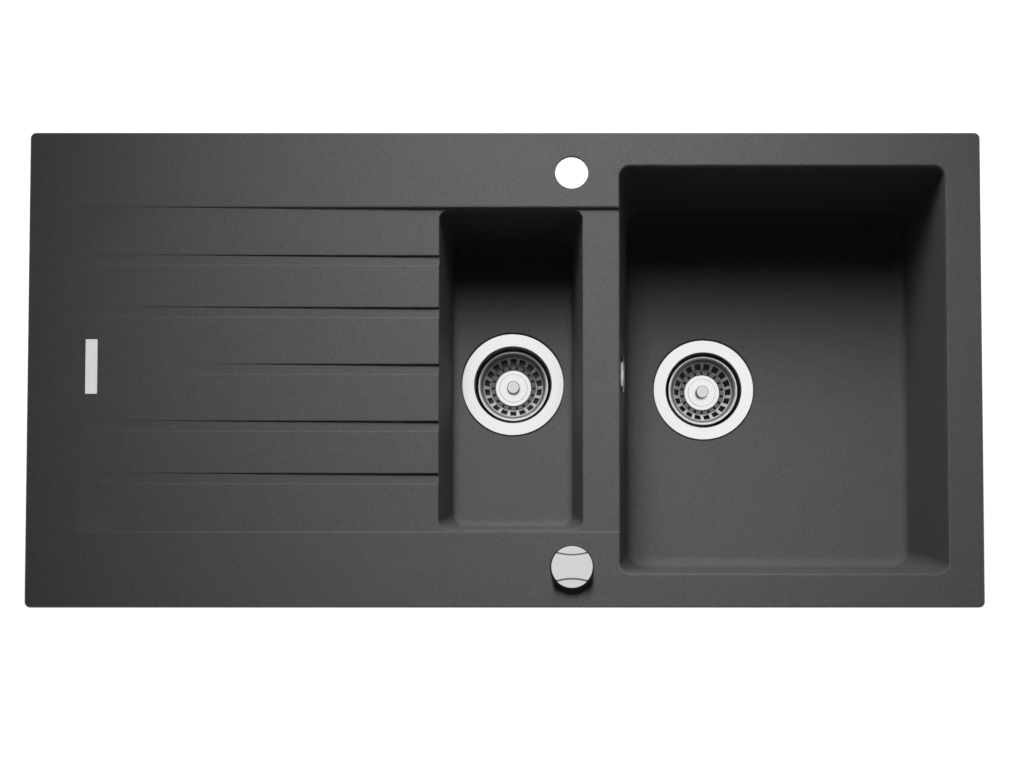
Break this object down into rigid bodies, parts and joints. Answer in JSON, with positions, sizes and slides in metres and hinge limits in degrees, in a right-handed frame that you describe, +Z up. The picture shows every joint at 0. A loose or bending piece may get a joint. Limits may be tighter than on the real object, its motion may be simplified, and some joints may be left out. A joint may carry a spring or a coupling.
{
  "type": "kitchen sink",
  "caption": "Inset kitchen sink of dark stone composite with a grooved drainer, half bowl and main bowl, basket wastes, a turning pop-up control, an overflow and swing fixing claws.",
  "frame": {"origin": "centre of the sink's outline in plan, on the worktop that carries the rim", "axes": "+X along the sink from the drainer to the main bowl, +Y from the front edge to the back edge with the tap hole, +Z up"},
  "size_m": [1, 0.5, 0.3358],
  "materials": {
    "composite": "matte, fine grain",
    "satin_steel": "satin",
    "pressed_steel": "fine brushed",
    "polished_steel": "polished",
    "plain_steel": "plain",
    "spindle_brass": "turned",
    "zinc_steel": "zinc plated",
    "rubber": "matte",
    "waste_plastic": "moulded",
    "black_plastic": "moulded",
    "cable_plastic": "smooth"
  },
  "bodies": {
    "sink": {"sink_body": "composite", "badge_plate": "satin_steel", "main_flange_cup": "pressed_steel", "small_flange_cup": "pressed_steel", "overflow_rosette": "polished_steel", "main_clamp_screw": "plain_steel", "small_clamp_screw": "plain_steel", "cover_screws": "plain_steel", "claw_screws": "zinc_steel", "cable_ferrules": "zinc_steel", "rim_seal": "rubber", "main_flange_seal": "rubber", "small_flange_seal": "rubber", "main_body_seal": "rubber", "small_body_seal": "rubber", "shaft_seal": "rubber", "overflow_seal": "rubber", "control_seal": "rubber", "control_washer": "rubber", "main_waste_body": "waste_plastic", "small_waste_body": "waste_plastic", "overflow_elbow": "waste_plastic", "overflow_pipe": "waste_plastic", "upper_overflow_nut": "waste_plastic", "lower_overflow_nut": "waste_plastic", "control_bush": "black_plastic", "control_nut": "black_plastic", "cam_housing": "black_plastic", "cam_housing_cover": "black_plastic", "lever_housing": "black_plastic", "lever_housing_cover": "black_plastic", "claw_plugs": "black_plastic", "cable_sheath": "cable_plastic"},
    "control_knob": {"control_knob": "polished_steel", "knob_grub_screw": "plain_steel", "control_spindle": "spindle_brass", "cable_cam": "black_plastic"},
    "lift_pin": {"lift_pin": "plain_steel"},
    "lift_lever": {"lift_lever": "black_plastic", "lever_shaft": "plain_steel", "lever_crank": "black_plastic"},
    "main_basket": {"main_basket": "satin_steel", "main_basket_disc": "polished_steel", "main_basket_post": "polished_steel", "main_basket_seal": "rubber", "main_basket_stem": "plain_steel"},
    "small_basket": {"small_basket": "satin_steel", "small_basket_disc": "polished_steel", "small_basket_post": "polished_steel", "small_basket_seal": "rubber", "small_basket_stem": "plain_steel"},
    "front_left_claw": {"front_left_claw": "zinc_steel"},
    "back_left_claw": {"back_left_claw": "zinc_steel"},
    "front_middle_claw": {"front_middle_claw": "zinc_steel"},
    "back_middle_claw": {"back_middle_claw": "zinc_steel"},
    "front_right_claw": {"front_right_claw": "zinc_steel"},
    "back_right_claw": {"back_right_claw": "zinc_steel"},
    "left_end_claw": {"left_end_claw": "zinc_steel"},
    "right_end_claw": {"right_end_claw": "zinc_steel"}
  },
  "joints": [
    {"name": "knob_turn", "type": "hinge", "parent": "sink", "child": "control_knob", "pos_m": [0.07, -0.208, 0.016], "axis": [0, 0, -1], "range_deg": [0, 90]},
    {"name": "pin_drop", "type": "slide", "parent": "sink", "child": "lift_pin", "axis": [0, 0, -1], "range_m": [0, 0.008]},
    {"name": "lever_swing", "type": "hinge", "parent": "sink", "child": "lift_lever", "pos_m": [0.24466, 0, -0.2668], "axis": [0, -1, 0], "range_deg": [0, 19.19]},
    {"name": "main_basket_lift", "type": "slide", "parent": "lift_pin", "child": "main_basket", "axis": [0, 0, 1], "range_m": [0, 0.25]},
    {"name": "small_basket_lift", "type": "slide", "parent": "sink", "child": "small_basket", "axis": [0, 0, 1], "range_m": [0, 0.2]},
    {"name": "front_left_claw_swing", "type": "hinge", "parent": "sink", "child": "front_left_claw", "pos_m": [-0.39, -0.231, -0.0447], "axis": [0, 0, -1], "range_deg": [0, 90]},
    {"name": "back_left_claw_swing", "type": "hinge", "parent": "sink", "child": "back_left_claw", "pos_m": [-0.39, 0.231, -0.0447], "axis": [0, 0, -1], "range_deg": [0, 90]},
    {"name": "front_middle_claw_swing", "type": "hinge", "parent": "sink", "child": "front_middle_claw", "pos_m": [-0.121, -0.231, -0.0447], "axis": [0, 0, -1], "range_deg": [0, 90]},
    {"name": "back_middle_claw_swing", "type": "hinge", "parent": "sink", "child": "back_middle_claw", "pos_m": [-0.121, 0.231, -0.0447], "axis": [0, 0, -1], "range_deg": [0, 90]},
    {"name": "front_right_claw_swing", "type": "hinge", "parent": "sink", "child": "front_right_claw", "pos_m": [0.2915, -0.231, -0.0447], "axis": [0, 0, -1], "range_deg": [0, 90]},
    {"name": "back_right_claw_swing", "type": "hinge", "parent": "sink", "child": "back_right_claw", "pos_m": [0.2915, 0.231, -0.0447], "axis": [0, 0, -1], "range_deg": [0, 90]},
    {"name": "left_end_claw_swing", "type": "hinge", "parent": "sink", "child": "left_end_claw", "pos_m": [-0.481, 0, -0.0447], "axis": [0, 0, -1], "range_deg": [0, 90]},
    {"name": "right_end_claw_swing", "type": "hinge", "parent": "sink", "child": "right_end_claw", "pos_m": [0.481, 0, -0.0447], "axis": [0, 0, -1], "range_deg": [0, 90]}
  ],
  "couplings": [
    {"joint": "pin_drop", "follows": "knob_turn", "m_per_rad": 0.00509},
    {"joint": "lever_swing", "follows": "knob_turn", "ratio": 0.2131}
  ]
}
